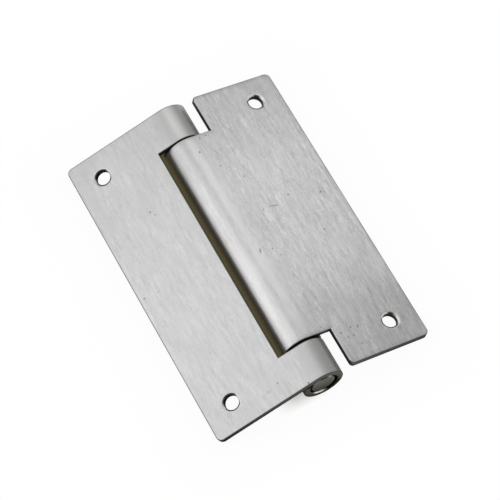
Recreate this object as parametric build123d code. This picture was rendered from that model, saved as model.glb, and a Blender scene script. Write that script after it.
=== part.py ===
from build123d import *
import os
from math import asin, cos, degrees, hypot, radians, sin

# A self-closing cabinet hinge of brushed stainless sheet, in millimetres.
# The origin is on the pivot axis, halfway along the frame leaf. +Y runs along the pin, +Z is up.
# The hinge lies on its barrel with both leaves drooping to the sides, like a low roof.

# Sheet and leaves
leaf_length = 101.6         # both leaves, along the pin
frame_leaf_width = 34.5     # pivot axis to free edge
door_leaf_width = 35.5      # pivot axis to free edge
sheet_thickness = 2.0
included_angle = 148.0      # between the leaves, measured on the barrel side
free_corner_radius = 1.8    # corners of the free edges
mouth_corner_radius = 1.2   # corners of the door leaf beside its end notches
edge_break = 0.3            # bevel that blanking and brushing leave round the show face

# Knuckles, rolled from the leaves themselves
barrel_radius = 6.5
knuckle_length = 12.3       # each of the two knuckles of the frame leaf
end_gap = 0.6               # play at each end of the barrel when it is centred
door_leaf_lift = 0.2        # the barrel has slid this far towards the top knuckle
seam_gap = 0.25             # rolled end to the leaf's underside
frame_notch_clearance = 0.45  # barrel's side to the long edge of the frame leaf's notch, along the leaf
door_notch_clearance = 1.6  # knuckle's side to the long edges of the door leaf's end notches

# Screw holes, two in each leaf
hole_diameter = 4.8
hole_from_free_edge = 9.1
hole_from_leaf_end = 8.6
hole_edge_break = 0.45

# End plugs, pressed into the frame leaf's knuckles
plug_journal_length = 8.0   # stretch that reaches into the barrel as its bearing
journal_clearance = 0.05    # radial
plug_recess = 0.2           # outer face below the knuckle's end
plug_chamfer = 0.8
plug_lead_in = 0.4

# Core pin, which keeps the spring straight
core_pin_diameter = 4.0
core_pin_clearance = 0.05   # radial, in the plugs and in the barrel anchor
core_pin_seat = 5.0         # depth of the blind seat in each plug
core_pin_end_play = 0.3     # at each end of the pin
core_pin_chamfer = 0.4

# Torsion spring, its anchor in the barrel and the kerfs for its tangs
wire_diameter = 1.6
spring_turns = 14.25
spring_end_gap = 0.25       # last turn to the plug or anchor beside it
anchor_length = 8.0
anchor_end_gap = 0.4        # anchor to the bottom plug
anchor_chamfer = 0.4
kerf_depth = 4.0
tang_length = 3.4
tang_clearance = 0.1        # each side of the tang in its kerf
chords_per_turn = 16        # the coil is drawn with this many straight chords a turn
wire_sides = 8              # and its wire with this many flats

overcut = 1.0               # how far a cut runs past the end that it opens
same = 0.001                # points nearer than this are at the same place

bore_radius = barrel_radius - sheet_thickness
leaf_droop = (180.0 - included_angle) / 2
knuckle_inner_end = leaf_length / 2 - knuckle_length
plug_inner_end = knuckle_inner_end - plug_journal_length
barrel_half_length = knuckle_inner_end - end_gap
core_pin_radius = core_pin_diameter / 2
wire_radius = wire_diameter / 2
coil_radius = (bore_radius + core_pin_radius) / 2
anchor_bottom = anchor_end_gap - plug_inner_end
anchor_top = anchor_bottom + anchor_length
spring_start = anchor_top + spring_end_gap + wire_radius
spring_end = plug_inner_end - spring_end_gap - wire_radius
spring_end_angle = 360 * spring_turns
frame_notch_reach = barrel_radius + frame_notch_clearance
door_notch_reach = barrel_radius + door_notch_clearance


def polar(radius, angle):
    """Point of the sheet's cross-section, with the angle in degrees turned from +Z towards +X."""
    return radius * sin(radians(angle)), radius * cos(radians(angle))


def sheet_profile(width):
    """Cross-section of a leaf towards -X: flat, tangent to the barrel's top, then rolled right round."""
    roll = 270 + degrees(asin((bore_radius - seam_gap) / barrel_radius))
    outline = [
        Line((-width, barrel_radius), (0, barrel_radius)),
        ThreePointArc((0, barrel_radius), polar(barrel_radius, roll / 2), polar(barrel_radius, roll)),
        Line(polar(barrel_radius, roll), polar(bore_radius, roll)),
        ThreePointArc(polar(bore_radius, roll), polar(bore_radius, roll / 2), (0, bore_radius)),
        Line((0, bore_radius), (-width, bore_radius)),
        Line((-width, bore_radius), (-width, barrel_radius)),
    ]
    return Plane.XZ * make_face(outline)


def slab(x_range, y_range):
    """Cutting block over a rectangle of the leaf, taller than the barrel."""
    height = 4 * barrel_radius
    size = Box(x_range[1] - x_range[0], y_range[1] - y_range[0], height)
    return Pos(sum(x_range) / 2, sum(y_range) / 2, 0) * size


def on_show_face(edge):
    """True for an edge that bounds the outer skin: the flat at the barrel's top or the roll's outside."""
    for at in (0, 0.5, 1):
        point = edge @ at
        on_flat = abs(point.Z - barrel_radius) < same and point.X < same
        on_roll = abs(hypot(point.X, point.Z) - barrel_radius) < same
        if not (on_flat or on_roll):
            return False
    return True


def is_along_barrel(edge, reach):
    """True for the lines that run along the roll: where it starts, where it ends and its seams."""
    direction = edge % 0.5
    middle = edge @ 0.5
    return edge.geom_type == GeomType.LINE and abs(direction.Y) > 0.99 and middle.X > same - reach


def rolled_leaf(width, notches, notch_reach, mouth_corners):
    """A leaf towards -X, blanked with its notches and corners, drilled, and rolled at the pivot axis."""
    leaf = extrude(sheet_profile(width), leaf_length / 2, both=True)
    for y_range in notches:
        leaf -= slab((-notch_reach, 2 * barrel_radius), y_range)
    uprights = leaf.edges().filter_by(Axis.Z)
    free_corners = [edge for edge in uprights if abs((edge @ 0).X + width) < same]
    leaf = fillet(free_corners, free_corner_radius)
    if mouth_corners:
        uprights = leaf.edges().filter_by(Axis.Z)
        mouths = [edge for edge in uprights if abs(abs((edge @ 0).Y) - leaf_length / 2) < same]
        leaf = fillet(mouths, mouth_corner_radius)
    rims = [edge for edge in leaf.edges() if on_show_face(edge) and not is_along_barrel(edge, notch_reach)]
    leaf = chamfer(rims, edge_break)
    for side in (-1, 1):
        leaf -= screw_hole(hole_from_free_edge - width, side * (leaf_length / 2 - hole_from_leaf_end))
    return leaf


def screw_hole(x, y):
    """Plain hole through a leaf, with a slight countersink on the show face where the punch went in."""
    drill = Cylinder(hole_diameter / 2, 4 * sheet_thickness)
    flare = Cone(hole_diameter / 2, hole_diameter / 2 + 2 * hole_edge_break, 2 * hole_edge_break)
    through = Pos(0, 0, barrel_radius - sheet_thickness / 2) * drill
    return Pos(x, y, 0) * (through + Pos(0, 0, barrel_radius) * flare)


def droop(leaf, angle):
    """Turn a leaf about the pivot axis; a positive angle lowers the +X side."""
    return Rot(0, angle, 0) * leaf


def make_frame_leaf():
    notch = (-knuckle_inner_end, knuckle_inner_end)
    return droop(rolled_leaf(frame_leaf_width, [notch], frame_notch_reach, False), -leaf_droop)


def make_door_leaf():
    past_end = leaf_length
    notches = [(barrel_half_length, past_end), (-past_end, -barrel_half_length)]
    leaf = mirror(rolled_leaf(door_leaf_width, notches, door_notch_reach, True), Plane.YZ)
    return Pos(0, door_leaf_lift, 0) * droop(leaf, leaf_droop)


def rod(radius, low, high):
    """Plain round bar along the pivot axis."""
    return Pos(0, (low + high) / 2, 0) * Rot(-90, 0, 0) * Cylinder(radius, high - low)


def rims_at(solid, y):
    """Circular edges of a turned piece at one place along the pivot axis."""
    return [edge for edge in solid.edges().filter_by(GeomType.CIRCLE) if abs((edge @ 0).Y - y) < same]


def kerf(y_low, y_high, angle):
    """Saw slot across the end of a turned piece, lined up with the tang that stands in it."""
    slot = Box(4 * bore_radius, y_high - y_low, wire_diameter + 2 * tang_clearance)
    return Pos(0, (y_low + y_high) / 2, 0) * Rot(0, -angle, 0) * slot


def coil_point(angle):
    """Centre of the wire on the coil, with the angle in degrees turned from +X towards +Z."""
    rise = (spring_end - spring_start) * angle / spring_end_angle
    return coil_radius * cos(radians(angle)), spring_start + rise, coil_radius * sin(radians(angle))


def make_plug():
    """End plug at the top: pressed through the knuckle, then a journal for the barrel to turn on."""
    outer_end = leaf_length / 2 - plug_recess
    body = rod(bore_radius, knuckle_inner_end, outer_end)
    body += rod(bore_radius - journal_clearance, plug_inner_end, knuckle_inner_end)
    body = chamfer(rims_at(body, outer_end), plug_chamfer)
    body = chamfer(rims_at(body, plug_inner_end), plug_lead_in)
    seat_radius = core_pin_radius + core_pin_clearance
    return body - rod(seat_radius, plug_inner_end - overcut, plug_inner_end + core_pin_seat)


def make_top_plug():
    return make_plug() - kerf(plug_inner_end - overcut, plug_inner_end + kerf_depth, spring_end_angle)


def make_bottom_plug():
    return mirror(make_plug(), Plane.XZ)


def make_barrel_anchor():
    """Bush pressed into the barrel, which holds the spring's lower tang and lets the core pin through."""
    bush = rod(bore_radius, anchor_bottom, anchor_top)
    bush = chamfer(rims_at(bush, anchor_bottom) + rims_at(bush, anchor_top), anchor_chamfer)
    bush -= rod(core_pin_radius + core_pin_clearance, anchor_bottom - overcut, anchor_top + overcut)
    return bush - kerf(anchor_top - kerf_depth, anchor_top + overcut, 0)


def make_core_pin():
    end = plug_inner_end + core_pin_seat - core_pin_end_play
    pin = rod(core_pin_radius, -end, end)
    return chamfer(rims_at(pin, end) + rims_at(pin, -end), core_pin_chamfer)


def make_torsion_spring():
    """Round wire wound between the anchor and the top plug, with both ends turned along the axis as tangs."""
    chords = round(chords_per_turn * spring_turns)
    coil = [coil_point(spring_end_angle * index / chords) for index in range(chords + 1)]
    lower_tang = (coil[0][0], coil[0][1] - tang_length, coil[0][2])
    upper_tang = (coil[-1][0], coil[-1][1] + tang_length, coil[-1][2])
    path = Polyline(lower_tang, *coil, upper_tang)
    section = Plane(origin=lower_tang, z_dir=(0, 1, 0)) * RegularPolygon(wire_radius, wire_sides)
    return sweep(section, path=path, transition=Transition.RIGHT)


os.makedirs("parts", exist_ok=True)
pieces = {
    "frame_leaf": make_frame_leaf(),
    "door_leaf": make_door_leaf(),
    "top_plug": make_top_plug(),
    "bottom_plug": make_bottom_plug(),
    "barrel_anchor": make_barrel_anchor(),
    "core_pin": make_core_pin(),
    "torsion_spring": make_torsion_spring(),
}
for name, piece in pieces.items():
    export_step(piece, f"parts/{name}.step")
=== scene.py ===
import math
import bpy
import numpy as np
from mathutils import Matrix, Vector


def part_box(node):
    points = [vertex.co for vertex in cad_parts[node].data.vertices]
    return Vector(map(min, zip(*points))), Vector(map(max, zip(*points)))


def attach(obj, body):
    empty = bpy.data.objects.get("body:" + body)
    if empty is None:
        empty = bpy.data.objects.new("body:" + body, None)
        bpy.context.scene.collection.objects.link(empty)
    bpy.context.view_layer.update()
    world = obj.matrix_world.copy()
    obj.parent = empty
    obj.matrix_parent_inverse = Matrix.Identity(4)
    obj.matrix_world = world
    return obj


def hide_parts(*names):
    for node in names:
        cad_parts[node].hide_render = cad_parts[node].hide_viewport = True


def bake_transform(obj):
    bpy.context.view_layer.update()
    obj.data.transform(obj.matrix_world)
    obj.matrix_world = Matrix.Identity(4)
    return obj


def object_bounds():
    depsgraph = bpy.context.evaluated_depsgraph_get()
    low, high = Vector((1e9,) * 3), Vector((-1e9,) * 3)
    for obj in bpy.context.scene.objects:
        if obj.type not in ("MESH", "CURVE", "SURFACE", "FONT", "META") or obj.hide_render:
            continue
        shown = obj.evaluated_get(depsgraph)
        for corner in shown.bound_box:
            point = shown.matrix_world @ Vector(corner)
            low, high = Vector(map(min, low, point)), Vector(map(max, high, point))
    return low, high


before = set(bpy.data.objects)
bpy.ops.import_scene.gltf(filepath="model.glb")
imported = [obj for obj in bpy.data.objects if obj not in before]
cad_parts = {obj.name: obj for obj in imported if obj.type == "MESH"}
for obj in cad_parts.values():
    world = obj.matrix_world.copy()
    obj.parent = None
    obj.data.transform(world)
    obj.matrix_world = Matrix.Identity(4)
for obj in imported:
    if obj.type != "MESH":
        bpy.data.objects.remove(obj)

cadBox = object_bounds()
mm = 0.001
print("frame loaded:", len(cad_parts), "nodes")


# small helpers

def linearColour(hexValue):
    # sRGB hex to linear light: c/12.92 near black, otherwise ((c + 0.055)/1.055) to the power 2.4
    parts = [int(hexValue[i:i + 2], 16) / 255 for i in (1, 3, 5)]
    return tuple(c / 12.92 if c <= 0.04045 else ((c + 0.055) / 1.055) ** 2.4 for c in parts) + (1.0,)


def addNode(tree, kind, inputs=(), out=0, **settings):
    # one node with its settings and inputs, listed in order or given by name or number: plain values, hex
    # colours or outputs of other nodes; gives back the output asked for
    node = tree.nodes.new("ShaderNode" + kind)
    for key, value in settings.items():
        setattr(node, key, value)
    for key, value in inputs.items() if isinstance(inputs, dict) else enumerate(inputs):
        if isinstance(value, bpy.types.NodeSocket):
            tree.links.new(value, node.inputs[key])
        else:
            node.inputs[key].default_value = linearColour(value) if isinstance(value, str) else value
    return node.outputs[out] if len(node.outputs) else node


def newMaterial(name):
    material = bpy.data.materials.new(name)
    material.use_nodes = True
    material.node_tree.nodes.clear()
    return material, material.node_tree


def layCoats(tree, base, coats, kind="RGBA"):
    # coats over a base colour, or values over a value, each with the share by which it covers what is under it
    under, over, out = {"RGBA": (6, 7, 2), "FLOAT": (2, 3, 0)}[kind]
    for share, coat in coats:
        base = addNode(tree, "Mix", {0: share, under: base, over: coat}, out, data_type=kind)
    return base


def addSpan(tree, factor, start, full, still, end):
    # 1 between the two middle values, 0 beyond the outer two, all in mm
    rise = addNode(tree, "MapRange", [factor, start * mm, full * mm])
    drop = addNode(tree, "MapRange", [factor, end * mm, still * mm])
    return addNode(tree, "Math", [rise, drop], operation="MULTIPLY")


def meshPiece(name, points, faces, materials, faceMaterial=None, sharpAngle=35.0):
    # points and quads as arrays go straight into a mesh, smooth apart from creases over sharpAngle
    mesh = bpy.data.meshes.new(name)
    mesh.vertices.add(len(points))
    mesh.vertices.foreach_set("co", np.asarray(points, np.float32).ravel())
    mesh.loops.add(faces.size)
    mesh.loops.foreach_set("vertex_index", np.asarray(faces, np.int32).ravel())
    mesh.polygons.add(len(faces))
    mesh.polygons.foreach_set("loop_start", np.arange(len(faces), dtype=np.int32) * faces.shape[1])
    for material in materials:
        mesh.materials.append(material)
    if faceMaterial is not None:
        mesh.polygons.foreach_set("material_index", np.asarray(faceMaterial, np.int32))
    mesh.update(calc_edges=True)
    mesh.validate()
    mesh.shade_smooth()
    mesh.set_sharp_from_angle(angle=math.radians(sharpAngle))
    piece = bpy.data.objects.new(name, mesh)
    bpy.context.scene.collection.objects.link(piece)
    return piece


def addAttribute(piece, name, values):
    attribute = piece.data.attributes.new(name, "FLOAT", "POINT")
    attribute.data.foreach_set("value", np.asarray(values, np.float32))


def addPointUv(piece, name, uv):
    # one texture coordinate a point, handed on to every corner of its faces
    layer = piece.data.uv_layers.new(name=name)
    corner = np.empty(len(piece.data.loops), np.int32)
    piece.data.loops.foreach_get("vertex_index", corner)
    layer.uv.foreach_set("vector", np.asarray(uv, np.float32)[corner].ravel())


# camera, at the photograph's viewing angle

camera = {
    "place": (-0.10605, -0.26702, 0.61135),
    "target": (0.00162, -0.00176, -0.00052),
    "roll": -6.603,          # degrees, the horizon tips this much
    "lens": 161.49,
    "sensor": 36.0,
}


def makeCamera(settings):
    data = bpy.data.cameras.new("camera")
    data.lens = settings["lens"]
    data.sensor_width = settings["sensor"]
    data.sensor_fit = "HORIZONTAL"
    place = Vector(settings["place"])
    look = (Vector(settings["target"]) - place).normalized()
    level = look.to_track_quat("-Z", "Y").to_matrix().to_4x4()
    obj = bpy.data.objects.new("camera", data)
    tipped = Matrix.Rotation(math.radians(settings["roll"]), 4, "Z")
    obj.matrix_world = Matrix.Translation(place) @ level @ tipped
    bpy.context.scene.collection.objects.link(obj)
    bpy.context.scene.camera = obj


makeCamera(camera)
print("camera placed")


# sheet metal: 304 blanks, die-cut, rolled into knuckles and belt-brushed along the barrel

def stretchedNoise(tree, vector, size, angle=0.0, seed=0.0, detail=3.0):
    # noise drawn out along one axis: size is mm across and along, angle turns it in degrees
    across, along = (1 / (length * mm) for length in size)
    turned = addNode(tree, "Mapping", {
        "Vector": vector, "Rotation": (0, 0, math.radians(angle)), "Location": (seed, seed, seed),
        "Scale": (across, along, across)})
    return addNode(tree, "TexNoise", {
        "Vector": turned, "Scale": 1.0, "Detail": detail, "Roughness": 0.6}, "Fac")


def addMetal(tree, colour, roughness, height, heightMm, anisotropy=0.0, tangent=None):
    # bare metal with a fine relief, and the output that shows it
    normal = addNode(tree, "Bump", {"Height": height, "Strength": 1.0, "Distance": heightMm * mm})
    inputs = {"Base Color": colour, "Metallic": 1.0, "Roughness": roughness, "Anisotropic": anisotropy,
              "Normal": normal}
    if tangent is not None:
        inputs["Tangent"] = tangent
    addNode(tree, "OutputMaterial", {"Surface": addNode(tree, "BsdfPrincipled", inputs)})


def addMark(tree, vector, mark):
    # an oval mark: 1 over its middle third, falling to 0 at its border
    u, v, halfWidth, halfLength, angle = mark
    turned = addNode(tree, "Mapping", {
        "Vector": vector, "Location": (u * mm, v * mm, 0), "Rotation": (0, 0, math.radians(angle)),
        "Scale": (halfWidth * mm, halfLength * mm, mm)}, vector_type="TEXTURE")
    reach = addNode(tree, "VectorMath", [turned], "Value", operation="LENGTH")
    return addNode(tree, "MapRange", [reach, 1.0, 0.35])


def addArc(tree, aside, arc):
    # part of a ring: 1 between two distances from the middle, near one direction, fading to 0 around it; its
    # ends fade from 8 degrees inside the half span to 12 beyond it
    turn, halfSpan, inner, outer, fade = arc
    reach = addNode(tree, "VectorMath", [aside], "Value", operation="LENGTH")
    unit = addNode(tree, "VectorMath", [aside], operation="NORMALIZE")
    way = (math.cos(math.radians(turn)), math.sin(math.radians(turn)), 0)
    facing = addNode(tree, "VectorMath", [unit, way], "Value", operation="DOT_PRODUCT")
    near = addNode(tree, "MapRange", [facing, *(math.cos(math.radians(halfSpan + more)) for more in (12, -8))])
    band = addSpan(tree, reach, inner - fade, inner, outer, outer + fade)
    return addNode(tree, "Math", [near, band], operation="MULTIPLY")


def brushedSheet(name, leaf):
    # soft grey metal; the belt leaves short streaks along the barrel, stronger in some patches, over a fine
    # grain and cloudy bands; it misses the rounded outline and the sides of the knuckles, which stay duller
    # and are darkened further as painted shade; real belt lines are about 0.05 mm apart and real scratches as
    # narrow, too fine to show, so the streaks are drawn 0.3 mm wide or more and the scratches 0.2 mm
    look = {
        # rounding, line and rim line: painted shade at edges and rims; missed: duller and painted shade
        "light": "#ebebeb", "dark": "#a9a9a9", "missedAndShaded": "#aeadac", "rounding": "#7d7c7a", "pit": "#6e6d6b",
        "burnished": "#cfcecc", "line": "#3a3937", "rimShadeColour": "#4f4e4c",
        "fine": (0.32, 2.3), "wide": (0.90, 6.5), "grain": (0.45, 0.60),           # mm across and along
        "patch": (4.0, 12.0), "cloud": (8.0, 12.0), "scratch": (0.22, 6.0),
        "fineTurn": 5.0, "wideTurn": -3.0, "patchTurn": 12.0, "scratchTurn": 64.0,  # degrees from the barrel
        "wideShare": 0.44, "grainShare": 0.26,
        "patchBand": (0.38, 0.62, 0.55, 1.0),          # from, to, and the streaks' strength at each
        "bend": (-5.5, -1.0), "bendCalm": 0.48,     # mm before the roll, and the share the streaks lose there
        "endBand": (20.0, 42.0), "endShift": 3.0, "endShare": 0.125,    # mm from middle: painted shade at ends
        "pitCell": 7.0, "pitRadius": (0.10, 0.30), "pitShare": 0.80, "pitDepth": 0.8,
        "scratchBand": (0.74, 0.80), "scratchDepth": 0.35,
        "edgeBand": (0.40, 0.16), "lineBand": (0.16, 0.06),             # mm from the outline
        "rimBand": (0.62, 0.50), "rimShadeLine": (0.56, 0.34),               # mm from a hole's rim
        "roughness": (0.27, 0.34), "missedRoughness": 0.42, "burnishedRoughness": 0.20,
        "anisotropy": 0.45, "relief": 0.012,
    }
    material, tree = newMaterial(name)
    blank = addNode(tree, "UVMap", uv_map="blank")
    fine = stretchedNoise(tree, blank, look["fine"], look["fineTurn"], 3.1, 2.0)
    wide = stretchedNoise(tree, blank, look["wide"], look["wideTurn"], 9.7, 0.6)
    grain = stretchedNoise(tree, blank, look["grain"], 0.0, 4.6, 2.0)
    cloud = stretchedNoise(tree, blank, look["cloud"], 0.0, 5.3)
    patch = stretchedNoise(tree, blank, look["patch"], look["patchTurn"], 7.9, 1.0)
    across, along = addNode(tree, "SeparateXYZ", [blank]).node.outputs[:2]
    onBend = addNode(tree, "MapRange", [across, *(value * mm for value in look["bend"])])
    calm = addNode(tree, "Math", [onBend, look["bendCalm"]], operation="MULTIPLY")
    kept = addNode(tree, "Math", [1.0, calm], operation="SUBTRACT")
    strength = addNode(tree, "MapRange", [patch, *look["patchBand"]])
    strength = addNode(tree, "Math", [strength, kept], operation="MULTIPLY")
    streaks = layCoats(tree, fine, [(look["wideShare"], wide), (look["grainShare"], grain)], "FLOAT")
    marked = layCoats(tree, 0.5, [(strength, streaks)], "FLOAT")
    mixed = layCoats(tree, marked, [(leaf["cloudShare"], cloud)], "FLOAT")
    share = addNode(tree, "MapRange", [mixed, 0.5 - leaf["contrast"], 0.5 + leaf["contrast"]])
    # painted shade towards both ends, in the pits' colour
    along = addNode(tree, "Math", [along, look["endShift"] * mm], operation="ADD")
    along = addNode(tree, "Math", [along], operation="ABSOLUTE")
    ends = addNode(tree, "MapRange", [along, *(value * mm for value in look["endBand"])])
    ends = addNode(tree, "Math", [ends, look["endShare"] * leaf["endShade"]], operation="MULTIPLY")
    coats = [(share, look["light"]), (ends, look["pit"])]
    # painted light and shade in spots, from the leaf's list
    for paintedColour, paintedShare, mark in leaf["paintedLightAndWear"]:
        paintedLightAndWear = addNode(tree, "Math", [addMark(tree, blank, mark), paintedShare], operation="MULTIPLY")
        coats.append((paintedLightAndWear, paintedColour))

    # pits: one in some cells, where the cell's own random value is high, and the leaf's own dents
    cell = addNode(tree, "TexVoronoi", {"Vector": blank, "Scale": 1 / (look["pitCell"] * mm)}).node.outputs
    chance = addNode(tree, "SeparateColor", [cell["Color"]], "Red")
    chosen = addNode(tree, "Math", [chance, look["pitShare"]], operation="GREATER_THAN")
    inner, outer = (radius / look["pitCell"] for radius in look["pitRadius"])
    pit = addNode(tree, "MapRange", [cell["Distance"], outer, inner])
    pit = addNode(tree, "Math", [pit, chosen], operation="MULTIPLY")
    for mark in leaf["dents"]:
        pit = addNode(tree, "Math", [pit, addMark(tree, blank, mark)], operation="MAXIMUM")
    pit = addNode(tree, "Math", [pit, look["pitDepth"]], operation="MULTIPLY")
    coats.append((pit, look["pit"]))

    # cross scratches: the thin tops of noise that lies across the belt's direction
    scratch = stretchedNoise(tree, blank, look["scratch"], look["scratchTurn"], 1.7, 1.0)
    scratch = addNode(tree, "MapRange", [scratch, *look["scratchBand"]])
    scratch = addNode(tree, "Math", [scratch, look["scratchDepth"]], operation="MULTIPLY")
    coats.append((scratch, look["pit"]))

    # the roundings at the outline, unbrushed and darkened as painted shade, with a dark painted line at the
    # very edge; the knuckles' sides, unbrushed and darkened as painted shade; the punch has burnished the
    # roll-over at a hole, down to a dark line of painted shade at its rim
    edge, rim, missedAndShaded = (addNode(tree, "Attribute", out="Fac", attribute_name=key)
                         for key in ("edge", "holeEdge", "missedAndShaded"))
    rounding = addNode(tree, "MapRange", [edge, *look["edgeBand"]])
    burnished = addNode(tree, "MapRange", [rim, *look["rimBand"]])
    line = addNode(tree, "MapRange", [edge, *look["lineBand"]])
    rimShadeLine = addNode(tree, "MapRange", [rim, *look["rimShadeLine"]])
    coats += [(missedAndShaded, look["missedAndShaded"]), (rounding, look["rounding"]), (burnished, look["burnished"]),
              (line, look["line"]), (rimShadeLine, look["rimShadeColour"])]
    # painted highlights on one side of each hole's rim
    aside = addNode(tree, "UVMap", uv_map="hole")
    coats += [(addArc(tree, aside, arc), arcColour) for arcColour, arc in leaf["rimHighlights"]]
    colour = layCoats(tree, look["dark"], coats)
    smooth, coarse = look["roughness"]
    bare = addNode(tree, "Math", [rounding, missedAndShaded], operation="MAXIMUM")
    roughness = layCoats(tree, smooth, [(wide, coarse), (bare, look["missedRoughness"]),
                                        (burnished, look["burnishedRoughness"])], "FLOAT")
    height = addNode(tree, "Math", [marked, pit], operation="SUBTRACT")
    tangent = addNode(tree, "Tangent", direction_type="UV_MAP", uv_map="blank")
    addMetal(tree, colour, roughness, height, look["relief"], look["anisotropy"], tangent)
    return material


def shearedEdge():
    # the die's cut: a narrow burnished band under the show face, then the dark, grainy break, whose grain of
    # under 0.1 mm is drawn 0.25 mm wide so that it shows; painted shade on a patch of the knuckles' ends
    look = {
        "burnished": "#6c6b69", "break": "#3f3e3c", "breakLight": "#53514e", "knuckleEnd": "#7d7c7a",
        # hole walls: dark metal with painted shade, and a painted highlight on one side
        "punched": "#2c2b2a", "wallHighlight": "#9b9a98", "wallHighlightArc": (172, 18, 1.0, 4.0, 0.1),    # in the holes
        "holeBand": (0.3, 0.1),                        # mm from a hole's rim
        # painted shade on a patch of the knuckles' ends: mm round the roll, share of the depth
        "burr": "#161513", "burrTurn": (12.5, 14.5, 19.5, 22.0), "burrDepth": (0.30, 0.45),
        "band": (0.30, 0.42),                          # share of the sheet's depth where the break starts
        "wander": 1.6, "wanderDepth": 0.25,            # mm along the edge, and share of the depth
        "grain": (0.25, 0.25), "grainBand": (0.35, 0.65), "wornBand": (0.25, 0.75),
        "roughness": (0.34, 0.62), "relief": 0.03,
    }
    material, tree = newMaterial("sheared stainless edge")
    place = addNode(tree, "TexCoord", out="Object")
    depth, rim, bare = (addNode(tree, "Attribute", out="Fac", attribute_name=key)
                        for key in ("depth", "holeEdge", "missedAndShaded"))
    grain = stretchedNoise(tree, place, look["grain"], 0.0, 2.2, 4.0)
    wander = stretchedNoise(tree, place, (look["wander"], look["wander"]), 0.0, 7.1, 2.0)
    wander = addNode(tree, "Math", [wander, look["wanderDepth"]], operation="MULTIPLY")
    wander = addNode(tree, "Math", [wander, look["wanderDepth"] / 2], operation="SUBTRACT")
    wander = addNode(tree, "Math", [depth, wander], operation="ADD")
    broken = addNode(tree, "MapRange", [wander, *look["band"]])
    rough = layCoats(tree, look["break"], [
        (addNode(tree, "MapRange", [grain, *look["grainBand"]]), look["breakLight"])])
    # a painted highlight on one side of each hole's wall
    wallHighlight = addArc(tree, addNode(tree, "UVMap", uv_map="hole"), look["wallHighlightArc"])
    punched = layCoats(tree, look["punched"], [(wallHighlight, look["wallHighlight"])])
    hole = addNode(tree, "MapRange", [rim, *look["holeBand"]])
    paintedLightAndWear = addNode(tree, "MapRange", [grain, *look["wornBand"]])
    paintedLightAndWear = addNode(tree, "Math", [bare, paintedLightAndWear], operation="MULTIPLY")
    turn = addNode(tree, "SeparateXYZ", [addNode(tree, "UVMap", uv_map="blank")], "X")
    # painted shade on a patch of the knuckles' ends
    burr = addNode(tree, "MapRange", [depth, *look["burrDepth"]])
    burr = addNode(tree, "Math", [addSpan(tree, turn, *look["burrTurn"]), burr], operation="MULTIPLY")
    colour = layCoats(tree, look["burnished"], [
        (hole, punched), (broken, rough), (paintedLightAndWear, look["knuckleEnd"]), (burr, look["burr"])])
    smooth, coarse = look["roughness"]
    roughness = layCoats(tree, smooth, [(broken, coarse)], "FLOAT")
    height = addNode(tree, "Math", [grain, broken], operation="MULTIPLY")
    addMetal(tree, colour, roughness, height, look["relief"])
    return material


def millFinish():
    # the sheet's back as the cold mill left it: duller, with faint lines and patches along the rolling, the
    # lines drawn 0.5 mm wide so that they show; at the roll's mouth a highlight is painted on one side, with
    # less roughness, and shade on the other
    look = {
        "light": "#a9a9a7", "dark": "#8e8e8c", "share": (0.35, 0.65),
        "lines": (0.5, 26.0), "patch": (6.0, 9.0), "relief": 0.006, "roughness": (0.30, 0.44),
        "lipHighlight": "#f2f1ef", "lipRoughness": 0.16, "lipTurn": (22.0, 23.2, 26.5, 28.0),    # mm round the roll
        "lipShade": "#141312", "lipShadeTurn": (8.0, 11.0, 20.5, 22.2),
        "mouth": (0.80, 0.60),                         # mm from the sheet's edge
    }
    material, tree = newMaterial("mill finish stainless")
    blank = addNode(tree, "UVMap", uv_map="blank")
    lines = stretchedNoise(tree, blank, look["lines"], 90.0, 4.4, 4.0)
    patch = stretchedNoise(tree, blank, look["patch"], 0.0, 8.8)
    share = addNode(tree, "MapRange", [layCoats(tree, lines, [(0.5, patch)], "FLOAT"), *look["share"]])
    edge = addNode(tree, "Attribute", out="Fac", attribute_name="edge")
    turn = addNode(tree, "SeparateXYZ", [blank], "X")
    mouth = addNode(tree, "MapRange", [edge, *look["mouth"]])
    # a painted highlight on one side of the roll's mouth, and painted shade on the other
    lipHighlight, lipShade = (addNode(tree, "Math", [addSpan(tree, turn, *look[key]), mouth], operation="MULTIPLY")
                  for key in ("lipTurn", "lipShadeTurn"))
    colour = layCoats(tree, look["dark"], [(share, look["light"]), (lipHighlight, look["lipHighlight"]), (lipShade, look["lipShade"])])
    smooth, coarse = look["roughness"]
    roughness = layCoats(tree, smooth, [(patch, coarse), (lipHighlight, look["lipRoughness"])], "FLOAT")
    addMetal(tree, colour, roughness, lines, look["relief"])
    return material


# the two leaves, as blanks in (u, v): u runs across the leaf from its free edge and on round the roll,
# v runs along the pin, and both are millimetres until the piece is made

sheet = {
    "thickness": 2.0, "barrelRadius": 6.5, "seamGap": 0.25,
    "droop": 16.0,                         # degrees that each leaf falls from level at rest
    "freeCorner": 1.8, "mouthCorner": 1.2,
    "holeRadius": 2.3, "holeFromFreeEdge": 9.1, "holeFromEnd": 8.6, "holeBlock": 3.9,
    "edgeRound": 0.28, "holeRound": 0.60, "holeRoundDepth": 0.34,
    # the back's edge: mm round the roll, and the radius of the edge there
    "boreRound": ((-1, 0.5, 21, 23, 26.5, 28.5), (0.12, 0.3, 0.3, 0.6, 0.6, 0.3)),
    "notchBright": 0.22,                   # mm added at the notches, so less shade is painted on their roundings
    "fallReach": 1.7, "dishDepth": 0.04, "dishReach": 1.3,
    # the grid: steps round the roll and along a hole, mm in from an edge and out from a hole, and the rows of
    # the walls as shares of the sheet's depth
    "rollSteps": 84, "holeSteps": 16, "cornerSteps": 6,
    "edgeSteps": (0, 0.03, 0.08, 0.15, 0.22, 0.28, 0.42, 0.62, 0.88, 1.2, 1.7),
    "rimSteps": (0, 0.02, 0.06, 0.12, 0.2, 0.3, 0.45, 0.65, 0.9, 1.2),
    "wallRows": (0.3, 0.42, 0.7),
}
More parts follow.
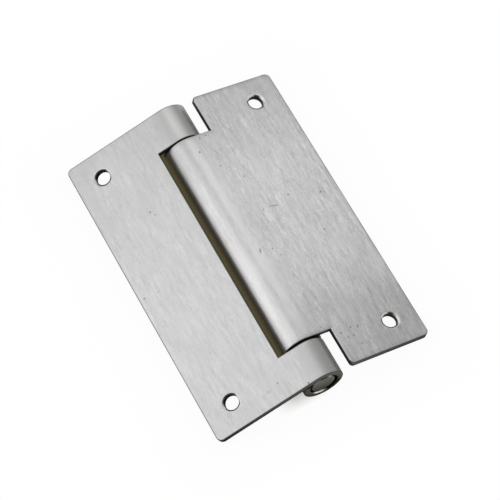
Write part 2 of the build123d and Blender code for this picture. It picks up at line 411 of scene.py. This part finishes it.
frameLeaf = {
    "width": 34.5, "knuckle": 12.3, "notchReach": 6.95, "side": -1, "fall": 0.015,
    "lift": 0.0,                           # mm that the leaf is shifted along the pin
    "missedAndShaded": (-30.0, 60.0),               # degrees round the roll from brushed to bare and painted shade
    "contrast": 0.32, "cloudShare": 0.16,  # streaks: half the noise's range that spans dark to light
    "endShade": 0.0,                        # how much shade is painted on the ends
    "paintedLightAndWear": [                              # painted light and shade in spots: colour, share and mark
        ("#f4f4f3", 0.72, (2.8, 44.8, 3.1, 12.0, 0)), ("#6e6d6b", 0.32, (3.8, -44.8, 2.4, 12.0, 0)),
        ("#6e6d6b", 0.08, (-1.4, 45.0, 3.0, 9.0, 0)), ("#6e6d6b", 0.08, (-33.0, 33.0, 6.0, 25.0, 0))],
    # painted highlights on one side of each hole's rim
    "rimHighlights": [                           # colour, then degrees round the hole, half span, both radii, fade
        ("#c9c8c6", (0, 28, 2.34, 2.95, 0.08)), ("#b5b4b2", (182, 16, 2.34, 2.95, 0.1))],
    "dents": [                             # marks: u, v, half width, half length, turn
        (-18.04, 23.47, 0.42, 0.42, 0), (-17.12, 21.84, 0.30, 0.30, 0), (-32.73, 0.55, 0.40, 0.40, 0),
        (-10.86, -45.09, 0.25, 0.45, 0), (-2.90, -50.20, 0.45, 0.45, 0)],
}
doorLeaf = {
    "width": 35.5, "barrelHalf": 37.9, "notchReach": 8.1, "side": 1, "lift": 0.2, "fall": 0.07,
    "missedAndShaded": (110.0, 150.0), "contrast": 0.165, "cloudShare": 0.10, "endShade": 1.0,
    "paintedLightAndWear": [
        # painted shade and light in spots on the flat, and a line of painted shade where the roll starts
        ("#6e6d6b", 0.09, (-9.0, -29.0, 10.0, 13.0, 0)), ("#6e6d6b", 0.11, (-27.0, -37.0, 14.0, 17.0, 0)),
        ("#6e6d6b", 0.07, (-5.5, 0.0, 3.2, 34.0, 0)), ("#6e6d6b", 0.15, (2.0, 0.0, 2.0, 90.0, 0)),
        ("#f4f4f3", 0.09, (-22.0, 24.0, 16.0, 17.0, 0)),
        # painted highlights: along the bend, and on the roll just past its top
        ("#f7f4f5", 0.17, (-0.3, 0.0, 1.6, 90.0, 0)), ("#f7f4f5", 0.14, (0.3, 31.0, 1.7, 22.0, 0)),
        ("#f8f3f4", 0.27, (3.5, 0.0, 1.15, 90.0, 0)), ("#f8f3f3", 0.13, (6.0, -12.0, 1.3, 50.0, 0)),
        # painted highlights in bands on the roll's side
        ("#f7f5f3", 0.85, (11.0, 0.0, 1.9, 90.0, 0)), ("#f7f4f0", 0.62, (8.3, 0.0, 1.5, 90.0, 0)),
        ("#f7f4f0", 0.50, (8.2, -32.0, 1.5, 18.0, 0))],
    # painted highlights on one side of each hole's rim
    "rimHighlights": [("#fbfaf8", (68, 32, 2.32, 2.80, 0.03)), ("#d9d8d6", (188, 38, 2.40, 3.20, 0.15))],
    "dents": [
        (-29.17, 5.33, 0.40, 0.65, 40), (-27.80, 39.67, 0.45, 0.45, 0), (-12.90, 6.20, 0.18, 2.20, 96),
        (-9.24, 6.11, 0.20, 0.50, 70), (-19.12, 8.10, 0.30, 0.50, 60), (-4.65, 25.01, 0.35, 0.35, 0),
        (-3.29, 36.33, 0.38, 0.38, 0), (-5.40, 36.69, 0.34, 0.34, 0), (-5.27, -7.10, 0.36, 0.36, 0),
        (-1.30, -6.51, 0.35, 1.20, 15), (-23.55, -7.02, 0.30, 0.40, 0), (-6.39, -9.93, 0.28, 0.40, 0),
        (-13.93, -39.81, 0.40, 0.45, 0), (-10.17, -40.59, 0.34, 0.50, 0), (-16.04, -40.39, 0.25, 0.90, 20),
        (-13.43, -42.55, 0.30, 0.60, 0), (-11.62, -42.52, 0.22, 0.70, -10), (-0.82, 31.73, 0.33, 0.60, 20),
        (-9.55, 18.90, 0.22, 0.60, 10), (-5.47, -36.41, 0.30, 0.30, 0)],
}
leafLength = (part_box("frame_leaf")[1].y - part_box("frame_leaf")[0].y) / mm


def discMap(a, b):
    # square rings to round ones: a point on the ring max(|a|, |b|) = m goes to radius m, and its place
    # along the ring's side becomes the angle
    m = np.maximum(np.abs(a), np.abs(b))
    safeA = np.where(a == 0, 1e-9, a)
    safeB = np.where(b == 0, 1e-9, b)
    byA = np.pi / 4 * b / safeA
    byB = np.pi / 4 * a / safeB
    x = np.where(np.abs(a) >= np.abs(b), np.sign(a) * m * np.cos(byA), np.sign(b) * m * np.sin(byB))
    y = np.where(np.abs(a) >= np.abs(b), np.sign(a) * m * np.sin(byA), np.sign(b) * m * np.cos(byB))
    return x, y, m


def roundCorner(u, v, corner, radius, signU, signV):
    # the grid beyond the arc's centre is mapped so that the square corner becomes a quarter circle
    centreU, centreV = corner[0] - signU * radius, corner[1] - signV * radius
    p, q = (u - centreU) * signU / radius, (v - centreV) * signV / radius
    inside = (p > 0) & (q > 0) & (p < 1.0001) & (q < 1.0001)
    x, y = discMap(p, q)[:2]
    return (np.where(inside, centreU + signU * radius * x, u),
            np.where(inside, centreV + signV * radius * y, v))


def roundHole(u, v, centre, radius, block):
    # inside the block square rings turn round: fully round at the hole's rim, square at the block's border
    a, b = (u - centre[0]) / block, (v - centre[1]) / block
    x, y, m = discMap(a, b)
    inner = radius / block
    square = np.clip((m - inner) / (1 - inner), 0, 1)
    inside = m < 1
    return (np.where(inside, centre[0] + block * (x + (a - x) * square), u),
            np.where(inside, centre[1] + block * (y + (b - y) * square), v))


def roundOver(distance, radius):
    # depth of a quarter-round edge at some distance in from it
    t = np.clip(distance / radius, 0, 1)
    return radius * (1 - np.sqrt(1 - (1 - t) ** 2))


def leafSheet(name, leaf, materials):
    halfLength, width, barrel = leafLength / 2, leaf["width"], sheet["barrelRadius"]
    notch, radius, block = leaf["notchReach"], sheet["holeRadius"], sheet["holeBlock"]
    bore = barrel - sheet["thickness"]
    rollEnd = barrel * (1.5 * np.pi + math.asin((bore - sheet["seamGap"]) / barrel))
    holeU, holeV = sheet["holeFromFreeEdge"] - width, halfLength - sheet["holeFromEnd"]

    # grid lines: close together at edges, rims and corners, and a few between them
    edgeSteps, rimSteps = np.array(sheet["edgeSteps"]), np.array(sheet["rimSteps"]) + radius
    cornerSteps = np.linspace(0, 1, sheet["cornerSteps"] + 1)
    holeLines = np.concatenate([
        -rimSteps, np.linspace(-radius, radius, sheet["holeSteps"] + 1), rimSteps, [-block, block]])
    isFrame = "knuckle" in leaf
    notchSide = halfLength - leaf["knuckle"] if isFrame else leaf["barrelHalf"]
    notchLines = notchSide + edgeSteps if isFrame else notchSide - edgeSteps
    half = np.concatenate([
        halfLength - edgeSteps, halfLength - sheet["freeCorner"] * cornerSteps,
        halfLength - sheet["mouthCorner"] * cornerSteps, holeV + holeLines, notchLines,
        np.linspace(0, notchSide - 3, 6)])
    vLines = np.unique(np.round(np.concatenate([half, -half]), 5))
    uLines = np.unique(np.round(np.concatenate([
        edgeSteps - width, sheet["freeCorner"] * cornerSteps - width, holeU + holeLines,
        np.linspace(holeU + block, -notch - 2, 5), -notch - edgeSteps,
        -notch - sheet["mouthCorner"] * cornerSteps, np.linspace(-notch, 0, 6),
        np.linspace(0, rollEnd, sheet["rollSteps"] + 1), rollEnd - edgeSteps[:6]]), 5))

    # cells of the grid that the holes and the notches take away
    cu, cv = np.meshgrid((uLines[1:] + uLines[:-1]) / 2, (vLines[1:] + vLines[:-1]) / 2, indexing="ij")
    inHole = (np.abs(cu - holeU) < radius) & (np.abs(np.abs(cv) - holeV) < radius)
    inNotch = (cu > -notch) & ((np.abs(cv) < notchSide) if isFrame else (np.abs(cv) > notchSide))
    keep = ~(inHole | inNotch)

    # the grid's points, moved to the round corners and the round holes
    u, v = np.meshgrid(uLines, vLines, indexing="ij")
    for end in (-1, 1):
        u, v = roundCorner(u, v, (-width, end * halfLength), sheet["freeCorner"], -1, end)
        u, v = roundHole(u, v, (holeU, end * holeV), radius, block)
        if not isFrame:
            u, v = roundCorner(u, v, (-notch, end * halfLength), sheet["mouthCorner"], 1, end)

    # distance in from the outline: straight sides, notch and rounded corners, whichever is nearest
    aside = np.abs(v)
    outline = np.minimum(np.minimum(u + width, halfLength - aside), rollEnd - u)
    notchAside = aside - notchSide if isFrame else notchSide - aside
    notchEdge = np.hypot(np.maximum(-notch - u, 0), np.maximum(notchAside, 0))
    outer = outline
    outline = np.minimum(outline, notchEdge)
    corners = [(-width + sheet["freeCorner"], sheet["freeCorner"], -1)]
    if not isFrame:
        corners.append((-notch - sheet["mouthCorner"], sheet["mouthCorner"], 1))
    for centreU, arc, sign in corners:
        p, q = (u - centreU) * sign, aside - halfLength + arc
        inCorner = (p > 0) & (q > 0) & (p < arc * 1.001)
        outline = np.where(inCorner, np.minimum(outline, arc - np.hypot(p, q)), outline)
        outer = np.where(inCorner, np.minimum(outer, arc - np.hypot(p, q)), outer)
    rim = np.hypot(u - holeU, aside - holeV) - radius
    outline, rim = np.maximum(outline, 0), np.maximum(rim, 0)
    edgeDistance = np.minimum(np.maximum(outer, 0), notchEdge + sheet["notchBright"])

    # show face: quarter-round edge, soft fall towards it, and a slight dish round each punched hole
    fall = leaf["fall"] * np.clip(1 - outline / sheet["fallReach"], 0, 1) ** 2
    dish = sheet["dishDepth"] * np.clip(1 - rim / sheet["dishReach"], 0, 1) ** 2
    rolled = roundOver(rim, sheet["holeRound"]) * sheet["holeRoundDepth"] / sheet["holeRound"]
    front = roundOver(outline, sheet["edgeRound"]) + rolled + fall + dish
    backRound = np.interp(u, *sheet["boreRound"])
    back = sheet["thickness"] - roundOver(np.minimum(outline, rim), backRound)

    # faces: both skins, and walls along the edges that only one kept cell has
    index = np.arange(u.size).reshape(u.shape)
    quads = np.stack([index[:-1, :-1], index[1:, :-1], index[1:, 1:], index[:-1, 1:]], -1)[keep]
    used = np.unique(quads)
    renumber = np.full(u.size, -1)
    renumber[used] = np.arange(len(used))
    quads = renumber[quads]
    count = len(used)
    starts, ends = quads.ravel(), np.roll(quads, -1, axis=1).ravel()
    openEdge = ~np.isin(starts * count + ends, ends * count + starts)
    starts, ends = starts[openEdge], ends[openEdge]
    border = np.unique(starts)
    place = np.full(count, -1)
    place[border] = np.arange(len(border))
    u, v = u.ravel()[used], v.ravel()[used]
    front, back = front.ravel()[used], back.ravel()[used]
    edgeDistance, rim = edgeDistance.ravel()[used], rim.ravel()[used]
    rows = sheet["wallRows"]
    wallDepth = [front[border] + (back[border] - front[border]) * share for share in rows]
    allU = np.concatenate([u, u] + [u[border]] * len(rows))
    allV = np.concatenate([v, v] + [v[border]] * len(rows))
    depth = np.concatenate([front, back] + wallDepth)
    edge = np.concatenate([edgeDistance, edgeDistance] + [edgeDistance[border]] * len(rows))
    holeEdge = np.concatenate([rim, rim] + [rim[border]] * len(rows))
    ladder = [np.arange(count)] + [np.full(count, -1)] * len(rows) + [np.arange(count) + count]
    for row in range(len(rows)):
        ladder[row + 1] = 2 * count + row * len(border) + place
    walls = [np.stack([upper[ends], upper[starts], lower[starts], lower[ends]], -1)
             for upper, lower in zip(ladder[:-1], ladder[1:])]
    faces = np.concatenate([quads, quads[:, ::-1] + count] + walls)
    kinds = np.concatenate([np.zeros(len(quads)), np.full(len(quads), 2), np.ones(len(walls) * len(starts))])

    # bend: flat up to u = 0, then round the pivot axis at angle u / R; depth is measured in from the show face
    angle, reach = np.maximum(allU, 0) / barrel, barrel - depth
    x = np.where(allU > 0, reach * np.sin(angle), allU)
    z = reach * np.cos(angle)
    tip = math.radians(sheet["droop"])
    points = np.stack([(x * math.cos(tip) - z * math.sin(tip)) * -leaf["side"], allV + leaf["lift"],
                       x * math.sin(tip) + z * math.cos(tip)], -1) * mm
    if leaf["side"] > 0:
        faces = faces[:, ::-1]
    piece = meshPiece(name, points, faces, materials, kinds)
    addPointUv(piece, "blank", np.stack([allU, allV], -1) * mm)
    addPointUv(piece, "hole", np.stack([allU - holeU, allV - np.sign(allV) * holeV], -1) * mm)
    # the skins get their distance from the edge; round the roll the belt's reach fades out and painted shade
    # comes in
    turn = np.degrees(allU / barrel)
    missedAndShaded = np.clip((turn - leaf["missedAndShaded"][0]) / (leaf["missedAndShaded"][1] - leaf["missedAndShaded"][0]), 0, 1)
    addAttribute(piece, "edge", edge)
    addAttribute(piece, "holeEdge", holeEdge)
    addAttribute(piece, "missedAndShaded", missedAndShaded)
    addAttribute(piece, "depth", depth / sheet["thickness"])
    print(name, len(faces), "quads")
    return piece


cutEdge, backFace = shearedEdge(), millFinish()
frameBelt = brushedSheet("brushed stainless sheet", frameLeaf)
frameSheet = leafSheet("frame_leaf_sheet", frameLeaf, [frameBelt, cutEdge, backFace])
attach(frameSheet, "frame_side")
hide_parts("frame_leaf")
doorBelt = brushedSheet("brushed stainless sheet, coarser belt", doorLeaf)
doorSheet = leafSheet("door_leaf_sheet", doorLeaf, [doorBelt, cutEdge, backFace])
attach(doorSheet, "door_side")
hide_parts("door_leaf")


# turned pieces and the torsion spring, all on the pivot axis

plug = {
    "radius": 4.5, "outerEnd": 50.6, "chamfer": 0.8, "pressEnd": 38.5, "journal": 4.45, "innerEnd": 30.5,
    "leadIn": 0.4, "seatRadius": 2.05, "seatEnd": 35.5, "edgeRound": 0.12, "sides": 96,
    "look": {
        "light": "#8c8d88", "dark": "#777872", "share": (0.35, 0.65), "pitch": 0.11, "stain": 1.8,
        # painted shade in the chamfer's groove and a painted highlight on the rim
        "grooveShade": "#141311", "grooveShadeFrom": (3.62, 3.78), "grooveShadeHeight": (3.1, 1.9),
        "groove": (84, 16, 3.50, 4.05, 0.15),
        "glintColour": "#f4f3f1", "glint": (2.45, 3.25, 0.95, 0.42, -38.0),
        "roughness": (0.40, 0.52), "relief": 0.010},
}
corePin = {
    "radius": 2.0, "halfLength": 35.2, "chamfer": 0.4, "sides": 64,
    "look": {
        "light": "#b4b3b0", "dark": "#9c9b98", "share": (0.35, 0.65), "pitch": 0.04, "stain": 3.0,
        "roughness": (0.20, 0.30), "relief": 0.002},
}
spring = {
    "coilRadius": 3.25, "wireRadius": 0.8, "start": -21.05, "end": 29.45, "turns": 14.25, "tang": 3.4,
    "bend": 0.9, "step": 0.15, "sides": 14,
    "look": {
        "light": "#8d8a84", "dark": "#6d6a65", "share": (0.35, 0.65), "draw": (0.10, 5.0), "oil": 2.5,
        "roughness": (0.28, 0.42), "relief": 0.006},
}


def turnedMetal(name, look):
    # lathe or grinder rings round the axis, about a pitch apart in mm, on end faces and sides alike, with faint
    # stains; shade is painted in the chamfer's groove, and a highlight on one spot of the rim
    material, tree = newMaterial(name)
    place = addNode(tree, "TexCoord", out="Object")
    x, y, z = addNode(tree, "SeparateXYZ", [place]).node.outputs
    across = addNode(tree, "CombineXYZ", [x, z])
    radius = addNode(tree, "VectorMath", [across], "Value", operation="LENGTH")
    section = addNode(tree, "CombineXYZ", [radius, y])
    rings = stretchedNoise(tree, section, (look["pitch"], look["pitch"]), 0.0, 3.3, 2.0)
    stain = stretchedNoise(tree, place, (look["stain"], look["stain"]), 0.0, 6.1)
    mixed = layCoats(tree, rings, [(0.5, stain)], "FLOAT")
    coats = [(addNode(tree, "MapRange", [mixed, *look["share"]]), look["light"])]
    if "grooveShade" in look:
        # painted shade in the chamfer's groove, and a painted highlight on one spot of the rim
        outside = addNode(tree, "MapRange", [radius, *(value * mm for value in look["grooveShadeFrom"])])
        below = addNode(tree, "MapRange", [z, *(value * mm for value in look["grooveShadeHeight"])])
        grooveShade = addNode(tree, "Math", [outside, below], operation="MULTIPLY")
        grooveShade = addNode(tree, "Math", [grooveShade, addArc(tree, across, look["groove"])], operation="MAXIMUM")
        coats += [(grooveShade, look["grooveShade"]), (addMark(tree, across, look["glint"]), look["glintColour"])]
    smooth, coarse = look["roughness"]
    roughness = layCoats(tree, smooth, [(stain, coarse)], "FLOAT")
    addMetal(tree, layCoats(tree, look["dark"], coats), roughness, rings, look["relief"])
    return material


def drawnWire(name, look):
    # spring wire: lines along it from the die, drawn 0.1 mm wide so that they show, and darker patches of oil
    material, tree = newMaterial(name)
    along = addNode(tree, "UVMap", uv_map="wire")
    lines = stretchedNoise(tree, along, look["draw"], 0.0, 1.9, 2.0)
    oil = stretchedNoise(tree, along, (look["oil"], look["oil"]), 0.0, 5.7)
    share = addNode(tree, "MapRange", [layCoats(tree, lines, [(0.5, oil)], "FLOAT"), *look["share"]])
    colour = layCoats(tree, look["dark"], [(share, look["light"])])
    smooth, coarse = look["roughness"]
    addMetal(tree, colour, layCoats(tree, smooth, [(oil, coarse)], "FLOAT"), lines, look["relief"])
    return material


def ringPiece(name, rings, material):
    # a skin over rings of points, each end closed by strips of quads from one side of its ring to the other
    count, sides = rings.shape[:2]
    index = np.arange(count * sides).reshape(count, sides)
    after = np.roll(index, -1, axis=1)
    skin = np.stack([index[:-1], after[:-1], after[1:], index[1:]], -1).reshape(-1, 4)
    strip = np.arange(sides // 2 - 1)
    cap = np.stack([strip, strip + 1, sides - 2 - strip, sides - 1 - strip], -1)
    faces = np.concatenate([skin, index[0][cap[:, ::-1]], index[-1][cap]])
    points = rings.reshape(-1, 3)
    corner = points[faces]
    volume = np.sum(np.cross(corner[:, 1] - corner[:, 0], corner[:, 2] - corner[:, 0]) * corner[:, 0])
    volume += np.sum(np.cross(corner[:, 2] - corner[:, 0], corner[:, 3] - corner[:, 0]) * corner[:, 0])
    if volume < 0:
        faces = faces[:, ::-1]
    print(name, len(faces), "quads")
    return meshPiece(name, points * mm, faces, [material])


def turnedPiece(name, profile, sides, material):
    # profile of (radius, place along the pin), turned round the pivot axis
    profile = np.array(profile)
    turn = np.linspace(0, 2 * np.pi, sides, endpoint=False)
    radius, along = profile[:, :1], np.repeat(profile[:, 1:], sides, axis=1)
    return ringPiece(name, np.stack([radius * np.cos(turn), along, radius * np.sin(turn)], -1), material)


def plugProfile(size):
    # outer face with a softened rim, chamfer, press fit, journal and the blind seat for the core pin
    rim, soft = size["radius"] - size["chamfer"], size["edgeRound"]
    tilt = np.linspace(0, np.pi / 4, 5)
    curve = [(rim - soft * (1 - math.sin(angle)), size["outerEnd"] - soft * (1 - math.cos(angle)))
             for angle in tilt]
    return curve + [
        (size["radius"], size["outerEnd"] - size["chamfer"]), (size["radius"], size["pressEnd"]),
        (size["journal"], size["pressEnd"]), (size["journal"], size["innerEnd"] + size["leadIn"]),
        (size["journal"] - size["leadIn"], size["innerEnd"]), (size["seatRadius"], size["innerEnd"]),
        (size["seatRadius"], size["seatEnd"])]


def springRings(size):
    # centre line: tang, coil and tang; the sharp turns between them are rounded by averaging along the wire
    coilLength = 2 * np.pi * size["turns"] * size["coilRadius"]
    reach = np.arange(-size["tang"] - size["bend"], coilLength + size["tang"] + size["bend"], size["step"])
    turn = np.clip(reach, 0, coilLength) / size["coilRadius"]
    rise = (size["end"] - size["start"]) * np.clip(reach, 0, coilLength) / coilLength
    along = size["start"] + rise + np.minimum(reach, 0) + np.maximum(reach - coilLength, 0)
    line = np.stack([size["coilRadius"] * np.cos(turn), along, size["coilRadius"] * np.sin(turn)], -1)
    window = np.hanning(2 * round(size["bend"] / size["step"]) + 1)
    window /= window.sum()
    line = np.stack([np.convolve(line[:, axis], window, mode="valid") for axis in range(3)], -1)

    # round the centre line: one direction points away from the axis, the other is square to it and the wire
    forward = np.gradient(line, axis=0)
    forward /= np.linalg.norm(forward, axis=1, keepdims=True)
    outward = line * (1, 0, 1)
    outward -= forward * np.sum(outward * forward, axis=1, keepdims=True)
    outward /= np.linalg.norm(outward, axis=1, keepdims=True)
    square = np.cross(forward, outward)
    around = np.linspace(0, 2 * np.pi, size["sides"], endpoint=False)[None, :, None]
    circle = np.cos(around) * outward[:, None] + np.sin(around) * square[:, None]
    return line[:, None] + size["wireRadius"] * circle


plugSteel = turnedMetal("turned free-cutting steel", plug["look"])
groundSteel = turnedMetal("centreless-ground steel", corePin["look"])
for nodeName in ("top_plug", "barrel_anchor"):
    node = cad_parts[nodeName]
    node.data.materials.clear()
    node.data.materials.append(plugSteel)

lowerProfile = [(radius, -along) for radius, along in plugProfile(plug)]
bottomPlug = turnedPiece("bottom_plug_turned", lowerProfile, plug["sides"], plugSteel)
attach(bottomPlug, "frame_side")
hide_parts("bottom_plug")

pinEnd, pinChamfer = corePin["halfLength"], corePin["chamfer"]
halfProfile = [(corePin["radius"] - pinChamfer, pinEnd), (corePin["radius"], pinEnd - pinChamfer)]
pinProfile = halfProfile + [(radius, -along) for radius, along in halfProfile[::-1]]
pinPiece = turnedPiece("core_pin_ground", pinProfile, corePin["sides"], groundSteel)
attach(pinPiece, "frame_side")
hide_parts("core_pin")

rings = springRings(spring)
springPiece = ringPiece("torsion_spring_coil", rings, drawnWire("drawn stainless spring wire", spring["look"]))
aroundWire, alongWire = np.meshgrid(np.arange(spring["sides"]), np.arange(len(rings)))
girth = 2 * np.pi * spring["wireRadius"] / spring["sides"]
wireUv = np.stack([aroundWire.ravel() * girth, alongWire.ravel() * spring["step"]], -1)
addPointUv(springPiece, "wire", wireUv * mm)
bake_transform(springPiece)
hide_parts("torsion_spring")


# stage

stage = {
    "floorHalf": 3.0, "floorHeight": cadBox[0][2] - 0.00002, "floorColour": "#fbfbfa",
    "shadeColour": "#504a33",            # painted shade on the card beside the barrel
    "leftShade": "#2e2719", "leftFrom": (-15.0, -11.0),    # darker under the leaf on the left
    "openShade": "#a09d94", "openFrom": (0.0, 10.0),       # lighter on the right, where more light gets under
    "deepShade": (-8.5, -4.2, 43.0),     # mm: left, right and half length of what the camera sees of it
    "sideFade": 6.5, "endFade": 9.0,
    "underHinge": (37.0, 52.0),          # mm: half the footprint, where shade is painted for reflections
    "underFade": 10.0, "nearFade": 24.0,    # mm over which that shade and the trace of the shadow end
    "faintShadow": 0.04,                 # share of the lit card, with its shadow, that shows near the hinge
}


def addBox(tree, x, y, box, fade, endFade):
    # 1 inside a rectangle of the card, given as left, right and half length, falling to 0 over the fades
    left, right, reach = box
    across = addSpan(tree, x, left - fade, left, right, right + fade)
    aside = addNode(tree, "Math", [y], operation="ABSOLUTE")
    along = addNode(tree, "MapRange", [aside, (reach + endFade) * mm, reach * mm])
    return addNode(tree, "Math", [across, along], operation="MULTIPLY")


def makeFloor(settings):
    # white card: for the camera and for reflections it glows at 1, with painted shade under and beside the
    # hinge, and a little of its own shadow showing through
    half, height = settings["floorHalf"], settings["floorHeight"]
    corners = [(-half, -half, height), (half, -half, height), (half, half, height), (-half, half, height)]
    mesh = bpy.data.meshes.new("floor")
    mesh.from_pydata(corners, [], [(0, 1, 2, 3)])
    floor = bpy.data.objects.new("floor", mesh)
    bpy.context.scene.collection.objects.link(floor)
    material, tree = newMaterial("matt white card")
    x, y = addNode(tree, "SeparateXYZ", [addNode(tree, "TexCoord", out="Object")]).node.outputs[:2]
    rays = addNode(tree, "LightPath").node.outputs
    halfAcross, halfAlong = settings["underHinge"]
    deep = addBox(tree, x, y, settings["deepShade"], settings["sideFade"], settings["endFade"])
    under, near = (addBox(tree, x, y, (-halfAcross, halfAcross, halfAlong), settings[fade], settings[fade])
                   for fade in ("underFade", "nearFade"))
    shade = layCoats(tree, under, [(rays["Is Camera Ray"], deep)], "FLOAT")
    leftSlot, opening = (addNode(tree, "MapRange", [x, *(value * mm for value in settings[key])])
                         for key in ("leftFrom", "openFrom"))
    slot = addNode(tree, "Math", [leftSlot, rays["Is Camera Ray"]], operation="MAXIMUM")
    shadeColour = layCoats(tree, settings["leftShade"], [
        (slot, settings["shadeColour"]), (opening, settings["openShade"])])
    seen = addNode(tree, "Math", [rays["Is Camera Ray"], rays["Is Glossy Ray"]], operation="MAXIMUM")
    seen = addNode(tree, "Math", [seen, rays["Is Transmission Ray"]], operation="MAXIMUM")
    lit = addNode(tree, "Math", [near, settings["faintShadow"]], operation="MULTIPLY")
    glow = addNode(tree, "Math", [1.0, lit], operation="SUBTRACT")
    glow = addNode(tree, "Math", [seen, glow], operation="MULTIPLY")
    card = addNode(tree, "BsdfDiffuse", {"Color": settings["floorColour"]})
    white = addNode(tree, "Emission", {
        "Color": layCoats(tree, "#ffffff", [(shade, shadeColour)]), "Strength": 1.0})
    addNode(tree, "OutputMaterial", {"Surface": addNode(tree, "MixShader", [glow, card, white])})
    mesh.materials.append(material)


studio = {
    "worldStrength": 0.542, "worldColour": "#ffffff",
    "dimStrength": 0.12, "dimAcross": (0.45, 0.80), "dimHeight": (0.50, 0.20),    # low behind the hinge
    "softboxes": {
        "leftHigh": {"place": (-0.60, 0.28, 0.44), "size": (0.55, 0.55), "power": 0.584},
        "top": {"place": (0.08, 0.32, 0.72), "size": (0.45, 0.45), "power": 0.356},
        "leftLow": {"place": (-0.76, 0.16, 0.18), "size": (0.40, 0.30), "power": 0.09},
        "rightMidFar": {"place": (0.29, 0.20, 0.32), "size": (0.16, 0.16), "power": 0.0424},
        "topRight": {"place": (0.25, 0.23, 0.49), "size": (0.16, 0.16), "power": 0.0378},
        "leftNear": {"place": (-0.14, 0.10, 0.30), "size": (0.20, 0.20), "power": 0.0457},
        "leftNearLow": {"place": (-0.30, 0.05, 0.22), "size": (0.20, 0.20), "power": 0.0187},
    },
}


def makeWorld(settings):
    world = bpy.data.worlds.new("studio")
    world.use_nodes = True
    tree = world.node_tree
    tree.nodes.clear()
    y, z = addNode(tree, "SeparateXYZ", [addNode(tree, "TexCoord", out="Generated")]).node.outputs[1:]
    height = addNode(tree, "Math", [z], operation="ABSOLUTE")
    behind = addNode(tree, "MapRange", [y, *settings["dimAcross"]])
    low = addNode(tree, "MapRange", [height, *settings["dimHeight"]])
    dim = addNode(tree, "Math", [behind, low], operation="MULTIPLY")
    strength = layCoats(tree, settings["worldStrength"], [(dim, settings["dimStrength"])], "FLOAT")
    background = addNode(tree, "Background", {"Color": settings["worldColour"], "Strength": strength})
    addNode(tree, "OutputWorld", {"Surface": background})
    bpy.context.scene.world = world


def addSoftbox(name, box):
    # a square lamp that faces the hinge and is itself out of sight
    data = bpy.data.lights.new(name, "AREA")
    data.shape = "RECTANGLE"
    data.size, data.size_y = box["size"]
    data.energy = box["power"]
    lamp = bpy.data.objects.new(name, data)
    aim = (-Vector(box["place"])).to_track_quat("-Z", "Y").to_matrix().to_4x4()
    lamp.matrix_world = Matrix.Translation(box["place"]) @ aim
    lamp.visible_camera = False
    bpy.context.scene.collection.objects.link(lamp)


makeFloor(stage)
makeWorld(studio)
for boxName, box in studio["softboxes"].items():
    addSoftbox(boxName, box)
bpy.context.scene.view_settings.view_transform = "Standard"
print("stage and lights set")
